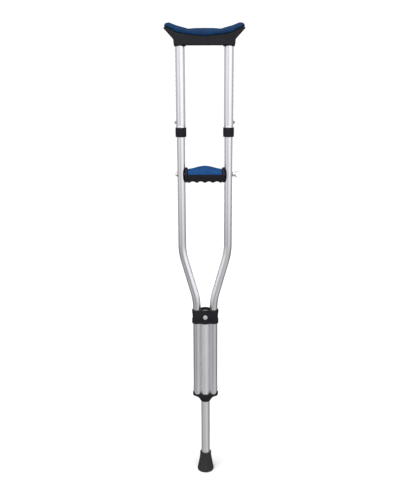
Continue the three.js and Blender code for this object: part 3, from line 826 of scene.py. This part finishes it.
def button_profile(radius, flange, flange_low, flange_high, end, dome):
    """A sprung button: a flange inside the tube, a shank through the wall and a domed end."""
    arc = [(radius * math.cos(a), end - dome + dome * math.sin(a))
           for a in np.linspace(0, math.pi / 2 - 0.06, 9)]
    return [(0.2, flange_low), (flange, flange_low), (flange, flange_high), (radius, flange_high), *arc]


def snap_buttons():
    profile = button_profile(4, 4.9, UPPER_X + 6.2, UPPER_X + 7.5, BUTTON.high.x, 3.0)
    button = solid("button", turned(profile, 40, "X", (0, 0, BUTTON_Z)))
    show_pair(polished(button), "snap_button")


def leaf_spring(name, back, front, fold, back_top, front_bend, front_top, thick, half_width):
    """A folded strip: an arm on the back of the tube, a fold, and an arm under the button."""
    half = thick / 2
    line = filleted([(back + half, back_top), (back + half, fold + half, 2.6), (back + 5, fold + half, 2.4),
                     (front - half, front_bend, 8), (front - half, front_top)], steps=8)
    ways = np.gradient(line, axis=0)
    ways /= np.linalg.norm(ways, axis=1)[:, None]
    rings = []
    for (x, z), (way_x, way_z) in zip(line, ways):
        side_x, side_z = -way_z * half, way_x * half
        rings.append([(x + side_x, -half_width, z + side_z), (x + side_x, half_width, z + side_z),
                      (x - side_x, half_width, z - side_z), (x - side_x, -half_width, z - side_z)])
    return solid(name, skin(rings))


def bending(spring, node):
    """Lets a spring stand for its node: rounds its edges, gives it its node's finish and hides the node."""
    polished(bevelled(spring, 0.12, 50, 2), 50)
    spring.name = f"{node}_fine"
    wear(spring, node)
    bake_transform(spring)
    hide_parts(node)


def springs():
    low, high = SNAP_SPRING.low, SNAP_SPRING.high
    for side, turn in (("right", 1), ("left", -1)):
        spring = leaf_spring("spring", low.x, high.x, low.z, high.z - 3, 1048, high.z, 0.7, high.y)
        if turn < 0:
            spring.data.transform(Matrix.Rotation(math.pi, 4, "Z"))
        bending(spring, f"snap_spring_{side}")
    low, high = LOCK_SPRING.low, LOCK_SPRING.high
    spring = leaf_spring("spring", -high.y, -low.y, low.z, high.z - 13, 490, high.z, 0.8, high.x)
    spring.data.transform(Matrix.Rotation(-math.pi / 2, 4, "Z"))
    bending(spring, "lock_spring")


def rivet(inner, seat, end, radius, z):
    """A tubular rivet: a shank inside the tube and a domed head with a dimple."""
    rise = end - seat
    dome = [(radius * math.cos(a), seat + rise * (0.25 + 0.75 * math.sin(a)))
            for a in np.linspace(0, 1.15, 7)]
    dimple = radius * 0.3
    profile = [(0.2, inner), (2, inner), (2, seat), (radius, seat), *dome,
               (dimple, seat + rise * 0.9), (dimple * 0.7, seat + rise * 0.55), (0.1, seat + rise * 0.5)]
    return solid("rivet", turned(profile, 36, "X", (0, 0, z)))


def rivets():
    seat = YOKE.high.x - NOTCH_DEPTH + SEAT
    yoke_rivet = rivet(YOKE_RIVET.low.x, seat, YOKE_RIVET.high.x, YOKE_RIVET.half.z, YOKE_RIVET.middle.z)
    show_pair(polished(yoke_rivet), "yoke_rivet")
    seat = BOW_LOW_X + BOW_RADIUS + SEAT
    clamp_rivet = rivet(CLAMP_RIVET.low.x, seat, CLAMP_RIVET.high.x, CLAMP_RIVET.half.z, CLAMP_RIVET.middle.z)
    show_pair(polished(clamp_rivet), "clamp_rivet")


def yoke():
    """The block that ties the tubes, hollowed at its ends, with a window for the lock."""
    low, boss_top = YOKE.low.z, YOKE.high.z
    high = boss_top - YOKE_BOSS_RISE
    rim = 0.9
    middle, end = YOKE.half.y, YOKE.half.x - BOW_LOW_X
    body = solid("yoke", rounded_stack(three_bosses(middle - 0.35, end, YOKE_WAIST), low, high, rim))
    boss = filleted([(0.3, low + 2), (middle, low + 2, rim), (middle, boss_top, rim), (0.3, boss_top)])
    carve(body, turned(boss, 72), how="UNION")
    for side in (-1, 1):
        x = side * (YOKE.half.x - NOTCH_DEPTH + NOTCH_RADIUS)
        carve(body, peg(NOTCH_RADIUS, -30, 30, "front", (x, 0, YOKE_RIVET.middle.z), 160))
    carve(body, peg(LEG_RADIUS + CLEAR, low, boss_top, flares=(1, 1), turns=64))
    for side in (-1, 1):
        at = (side * BOW_LOW_X, 0, 0)
        carve(body, peg(BOW_RADIUS + CLEAR, low, high, at=at, flares=(0.8, 0.8), turns=64))
    carve(body, peg(LOCK_HOLE + 0.4, 5, middle, "front", (0, 0, LOCK_Z), 56, flares=(0, 0.9)))
    carve(body, peg(RIVET_HOLE, -50, 50, "X", (0, 0, YOKE_RIVET.middle.z), 28))
    bevelled(body, 0.3, 50, 2)
    show(polished(body), "yoke")


def lower_clamp():
    """The foot clamp: a cup for each bow tube, with a raised lip, and a hub round the leg."""
    bottom, floor = CLAMP.low.z, BOW.low.z - 0.4
    hub_radius, cup_radius = CLAMP.half.y, CLAMP.half.x - BOW_LOW_X
    rim, lip, outer = 259, 265, CLAMP.half.x
    under = filleted([(0, bottom), (10, bottom, 3), (13.4, 237.6, 4), (15.8, 242.3, 8), (18.5, 247.2, 8),
                      (22, 250.8, 6), (26, 253, 5), (34.5, 253.8, 2), (37.2, 255.2, 1.2), (outer, 258)],
                     steps=4)
    over = filleted([(0, rim), (outer - 7.8, rim, 5), (outer - 1, lip - 0.8, 1), (outer, lip - 1.2)], steps=4)

    def half_depth(x):
        hub = math.sqrt(max(0, hub_radius ** 2 - x * x))
        cup = math.sqrt(max(0, cup_radius ** 2 - (x - BOW_LOW_X) ** 2))
        return max(hub, cup, CLAMP_WAIST if x < BOW_LOW_X else 0, 1.2)

    across = outer * np.sin(np.linspace(-math.pi / 2, math.pi / 2, 141))
    rings = []
    for x in across:
        low = np.interp(abs(x), under[:, 0], under[:, 1])
        high = np.interp(abs(x), over[:, 0], over[:, 1])
        deep = half_depth(abs(x))
        section = filleted([(deep, low, 1.2), (deep, high, 1), (-deep, high, 1), (-deep, low, 1.2)],
                           closed=True, steps=4)
        rings.append([(x, y, z) for y, z in section])
    body = solid("clamp", skin(rings))
    for side in (-1, 1):
        at = (side * BOW_LOW_X, 0, 0)
        carve(body, peg(BOW_RADIUS + CLEAR, floor, lip + 2, at=at, turns=64))
        spigot = filleted([(0.3, floor - 1.5), (BOW_INSIDE - CLEAR, floor - 1.5),
                           (BOW_INSIDE - CLEAR, CLAMP.high.z, 1), (0.3, CLAMP.high.z)])
        carve(body, turned(spigot, 48, at=at), how="UNION")
    carve(body, peg(LEG_RADIUS + CLEAR, bottom - 3, CLAMP.high.z + 5, turns=64))
    carve(body, peg(RIVET_HOLE, -50, 50, "X", (0, 0, CLAMP_RIVET.middle.z), 24))
    softened(body, 0.45, 3)
    body.data.shade_smooth()
    show(body, "lower_clamp")


# ---------------- leg

def leg_tube():
    line = [(0, LEG.low.z), (0, LEG.high.z)]
    leg = solid("leg", tube(line, LEG_RADIUS, LEG_INSIDE, 96), girth=2 * math.pi * LEG_RADIUS)
    carve(leg, peg(LOCK_HOLE, 4, 20, "front", (0, 0, LOCK_Z), 48))
    show(true_walls(leg, line), "leg_tube")


def leg_end_cap():
    stem = LEG_INSIDE - CLEAR
    brim = LEG.high.z + SEAT
    profile = filleted([
        (0.3, LEG_CAP.low.z), (stem, LEG_CAP.low.z, 0.8), (stem, brim), (LEG_CAP.half.x, brim),
        (LEG_CAP.half.x, LEG_CAP.high.z, 1.2), (5, LEG_CAP.high.z, 0.4), (4.4, LEG_CAP.high.z - 0.6, 0.4),
        (0.3, LEG_CAP.high.z - 0.6),
    ])
    show(polished(solid("leg_cap", turned(profile, 64))), "leg_end_cap")


def lock_button():
    end = -LOCK.low.y
    crown = filleted([(7, 6.6), (7, end - 1.5, 0.6), (6, end, 1.2), (0.2, end)], steps=6)
    profile = [(0.2, 5.2), (LOCK.half.x, 5.2), (LOCK.half.x, 6.6), *crown]
    show(polished(solid("lock", turned(profile, 56, "front", (0, 0, LOCK_Z)))), "lock_button")


def rubber_tip():
    """A flared cup with a beaded rim, and rings moulded into its sole."""
    sole = [(0.3, 0)]
    for radius in (8, 12.5, 17):
        sole += [(radius - 1, 0, 0.2), (radius - 0.9, 1.4, 0.3),
                 (radius + 0.9, 1.4, 0.3), (radius + 1, 0, 0.2)]
    wall = [(21.6, 0, 1.5), (24.3, 1.1, 2), (24.9, 4.6, 2.5), (24.2, 8.5, 6), (22.2, 19, 40), (20, 31, 60),
            (17.6, 44, 40), (16.8, 52.4, 2), (17.0, 53.6, 0.8), (17.0, TIP.high.z, 1.6)]
    bore = [(LEG_RADIUS + CLEAR, TIP.high.z, 0.7), (LEG_RADIUS + CLEAR, SOLE_THICKNESS),
            (0.3, SOLE_THICKNESS)]
    profile = filleted(sole + wall + bore, steps=5)
    show(polished(solid("tip", turned(profile, 96))), "rubber_tip")


def tip_washer():
    low, high, out = TIP_WASHER.low.z, TIP_WASHER.high.z, TIP_WASHER.half.x
    profile = filleted([(4, low, 0.3), (out, low, 0.5), (out, high, 0.5), (4, high, 0.3)],
                       closed=True, steps=3)
    show(polished(solid("tip_washer", turned(profile, 56, wrap=True))), "tip_washer")


# ---------------- handgrip

def core_bore(reach):
    """A tool that clears the grip's core tube, reaching as far to each side."""
    return peg(CORE_RADIUS + CLEAR, -reach, reach, "X", (0, 0, GRIP_Z), 48)


def grip_body():
    """The hard lower half, with a ridge between each two fingers."""
    split = GRIP.high.z
    deep = split - GRIP.low.z
    half, half_depth = GRIP.high.x, GRIP.half.y
    rings = []
    for x in np.linspace(-half, half, 121):
        hollow = 1 - abs(math.cos(math.pi * x / WAVE_PITCH)) ** 3
        end = 1 - 0.02 * max(0, (abs(x) - half + 1.2) / 1.2) ** 2
        ring = []
        for angle in np.linspace(0, math.pi, 41):
            fall = math.sin(angle)
            scale = end - hollow * (0.045 * fall ** 0.5 + 0.10 * fall ** 3)
            ring.append((x, half_depth * math.cos(angle) * scale, split - deep * fall * scale))
        rings.append(ring)
    body = solid("grip_body", skin(rings))
    carve(body, core_bore(half + 5))
    show(polished(body, 50), "grip_body")


def grip_pad():
    """The soft upper half, fullest in the middle."""
    low = GRIP_PAD.low.z
    half, half_depth = GRIP_PAD.high.x, GRIP_PAD.half.y
    crest = GRIP_PAD.high.z - low
    end_crest = crest - 8.4
    rings = []
    for x in np.linspace(-half, half, 73):
        share = abs(x) / half
        height = end_crest + (crest - end_crest) * ((1 + math.cos(math.pi * share)) / 2) ** 0.9
        tuck = max(0, (abs(x) - half + 2.5) / 2.5)
        drawn_in = 1 - 0.07 * tuck ** 2
        ring = []
        for angle in np.linspace(0, math.pi, 41):
            across, rise = math.cos(angle), math.sin(angle)
            depth = half_depth * math.copysign(abs(across) ** 0.86, across)
            ring.append((x, depth * drawn_in, low + height * rise ** 0.9 * drawn_in))
        rings.append(ring)
    pad = solid("grip_pad", skin(rings))
    carve(pad, core_bore(half + 5))
    show(polished(pad, 50), "grip_pad")
    return pad


def grip_end_caps():
    """A flange at each end, hollowed to sit on the bow tube."""
    inner, outer, radius = END_CAP.low.x, END_CAP.high.x, 21
    flat = 0.86
    profile = filleted([(0.3, inner), (radius, inner, 2.6), (radius, outer, 2.2), (0.3, outer)], steps=6)
    points, faces, places = turned(profile, 96, "X")
    points = points * [1, flat, 1] + [0, 0, END_CAP.middle.z]
    cap = solid("end_cap", (points, faces, places))
    carve(cap, peg(BOW_RADIUS + CLEAR, GRIP_Z - 40, GRIP_Z + 40, at=(UPPER_X, 0, 0), turns=96))
    carve(cap, peg(CORE_RADIUS + CLEAR, 0, 80, "X", (0, 0, GRIP_Z), 48))
    bevelled(cap, 0.5, 40, 2)
    show_pair(polished(cap), "grip_end_cap")


def grip_core():
    half, bore = CORE.high.x, BOLT_RADIUS + CLEAR
    profile = filleted([
        (bore, -half, 0.3), (CORE_RADIUS, -half, 0.5), (CORE_RADIUS, half, 0.5), (bore, half, 0.3),
    ], closed=True, steps=3)
    show(polished(solid("core", turned(profile, 48, "X", (0, 0, GRIP_Z), wrap=True))), "grip_core")


def grip_washers():
    inner, outer, radius = GRIP_WASHER.low.x, GRIP_WASHER.high.x, GRIP_WASHER.half.z
    bore = BOLT_RADIUS + CLEAR
    profile = filleted([
        (bore, inner), (radius, inner, 0.2), (radius, outer, 0.5), (bore, outer, 0.2),
    ], closed=True, steps=3)
    show_pair(polished(solid("washer", turned(profile, 48, "X", (0, 0, GRIP_Z), wrap=True))), "grip_washer")


def grip_bolt():
    """A mushroom-headed bolt with a rolled thread at its other end."""
    seat = -GRIP_WASHER.high.x - SEAT
    head_end, head = BOLT.low.x, BOLT.half.z
    crown = [(head * math.cos(a), seat - 0.6 + (head_end - seat + 0.6) * math.sin(a))
             for a in np.linspace(math.pi / 2 - 0.08, 0, 9)]
    depth, thread_length = 0.55, 14
    start, end = BOLT.high.x - thread_length, BOLT.high.x
    turns, per_turn = 40, 8
    profile = [*crown, (head, seat), (BOLT_RADIUS, seat), (BOLT_RADIUS, start)]
    rings = []
    angles = np.arange(turns) / turns * 2 * math.pi
    for radius, x in profile:
        rings.append([(x, radius * math.cos(a), GRIP_Z + radius * math.sin(a)) for a in angles])
    steps = int((end - start) / THREAD_PITCH * per_turn)
    for k in range(1, steps + 1):
        x = start + (end - start) * k / steps
        lead_in = min(1, (x - start) / THREAD_PITCH)
        taper = 0.7 * max(0, 1 - (end - x) / 1.0)
        ring = []
        for angle in angles:
            phase = (x / THREAD_PITCH - angle / (2 * math.pi)) % 1
            crest = 1 - abs(2 * phase - 1)
            radius = BOLT_RADIUS - lead_in * depth * (1 - crest) - taper
            ring.append((x, radius * math.cos(angle), GRIP_Z + radius * math.sin(angle)))
        rings.append(ring)
    show(polished(solid("bolt", skin(rings)), 60), "grip_bolt")


def wing_nut():
    """A cast wing nut: a tapered hub with two ears that lean outwards."""
    face, bore = NUT.low.x, BOLT_RADIUS + 0.3
    hub = filleted([(0.3, 0), (6, 0, 0.4), (6, 1.4, 0.6), (4.9, 7.4, 0.8), (0.3, 7.4)], steps=4)
    nut = solid("nut", turned(hub, 48, "X"))
    ear = filleted([
        (1.2, 1.5), (1.6, 5.4, 1), (9.3, 9.2, 1.6), (11.6, 9.6, 1.4), (12.6, 7.6, 1.4), (11.4, 5.6, 1.2),
        (7.4, 4.6, 1.5), (7.0, 1.5),
    ], closed=True, steps=4)
    for side in (-1, 1):
        plate = skin([[(x, deep, side * z) for x, z in ear] for deep in (-1.3, 1.3)])
        carve(nut, plate, how="UNION")
    carve(nut, peg(bore, -3, 20, "X", turns=40))
    softened(nut, 0.22, 5)
    nut.data.transform(Matrix.Translation(Vector((face, 0, GRIP_Z)) * MM))
    nut.data.shade_smooth()
    show(nut, "wing_nut")


# ---------------- stage

def studio():
    """A pale floor, an even surround that is brightest in front, and soft lights."""
    floor = solid("floor", skin([[(x, y, z) for x, y in
                                  ((-9000, -9000), (9000, -9000), (9000, 9000), (-9000, 9000))]
                                 for z in (-20, 0)]))
    f = Finish("floor")
    tone = f.noise(f.object_place, 3.0, 2.0)
    floor.data.materials.append(
        f.finish(f.blend(f.spread(tone, 0.3, 0.7), (0.95, 0.95, 0.95), (0.97, 0.97, 0.97)), 0.9))
    floor.visible_glossy = False

    world = bpy.data.worlds.new("surround")
    SCENE.world = world
    world.use_nodes = True
    tree = world.node_tree
    new, link = tree.nodes.new, tree.links.new

    def math_node(operation, one, other=None):
        node = new("ShaderNodeMath")
        node.operation = operation
        for socket, value in zip(node.inputs, (one, other)):
            if isinstance(value, bpy.types.NodeSocket):
                link(value, socket)
            elif value is not None:
                socket.default_value = value
        return node.outputs["Value"]

    def ramp(source, stops):
        """A grey ramp through (place, brightness) stops."""
        node = new("ShaderNodeValToRGB")
        node.color_ramp.interpolation = "EASE"
        link(source, node.inputs["Fac"])
        elements = node.color_ramp.elements
        while len(elements) > 1:
            elements.remove(elements[-1])
        for place, grey in stops:
            stop = elements.new(place)
            stop.color = (grey, grey, grey, 1)
        elements.remove(elements[0])
        return node.outputs["Color"]

    split = new("ShaderNodeSeparateXYZ")
    link(new("ShaderNodeTexCoord").outputs["Generated"], split.inputs["Vector"])
    x, y, z = (split.outputs[axis] for axis in "XYZ")
    turn = math_node("ARCTAN2", x, math_node("MULTIPLY", y, -1.0))
    round_ = ramp(math_node("ADD", math_node("DIVIDE", turn, 2 * math.pi), 0.5),
                  [(0.5 + degrees / 360, grey) for degrees, grey in SURROUND])
    height = ramp(math_node("ADD", math_node("MULTIPLY", z, 0.5), 0.5), HEIGHTS)
    surround = new("ShaderNodeBackground")
    link(math_node("MULTIPLY", round_, height), surround.inputs["Strength"])
    plain = new("ShaderNodeBackground")
    plain.inputs["Strength"].default_value = 1.05
    for node in (surround, plain):
        node.inputs["Color"].default_value = (1, 1, 1, 1)
    mix = new("ShaderNodeMixShader")
    link(new("ShaderNodeLightPath").outputs["Is Camera Ray"], mix.inputs["Fac"])
    link(surround.outputs["Background"], mix.inputs[1])
    link(plain.outputs["Background"], mix.inputs[2])
    link(mix.outputs["Shader"], tree.nodes["World Output"].inputs["Surface"])

    sun = bpy.data.lights.new("overhead", "SUN")
    sun.energy = 3.0
    sun.angle = math.radians(85)
    lamp = bpy.data.objects.new("overhead", sun)
    lamp.rotation_euler = Euler((math.radians(38), math.radians(-14), 0))
    SCENE.collection.objects.link(lamp)


def camera():
    """Standing height, nearly two metres in front and looking down a little."""
    data = bpy.data.cameras.new("camera")
    data.lens = 47.2
    view = bpy.data.objects.new("camera", data)
    view.location = (0.0012, -1.790, 1.194)
    view.matrix_world = (Matrix.Translation(view.location)
                         @ Matrix.Rotation(math.radians(90 - 15.3), 4, "X")
                         @ Matrix.Rotation(math.radians(-0.16), 4, "Z"))
    SCENE.collection.objects.link(view)
    SCENE.camera = view


# ---------------- assembly

camera()
studio()
SCENE.view_settings.view_transform = "Standard"

saddle = underarm_pad()
underarm_base()
upper_tubes()
collars()
bow_tubes()
bow_end_plugs()
snap_buttons()
springs()
rivets()
yoke()
lower_clamp()
leg_tube()
leg_end_cap()
lock_button()
rubber_tip()
tip_washer()
grip_body()
cushion = grip_pad()
grip_end_caps()
grip_core()
grip_washers()
grip_bolt()
wing_nut()
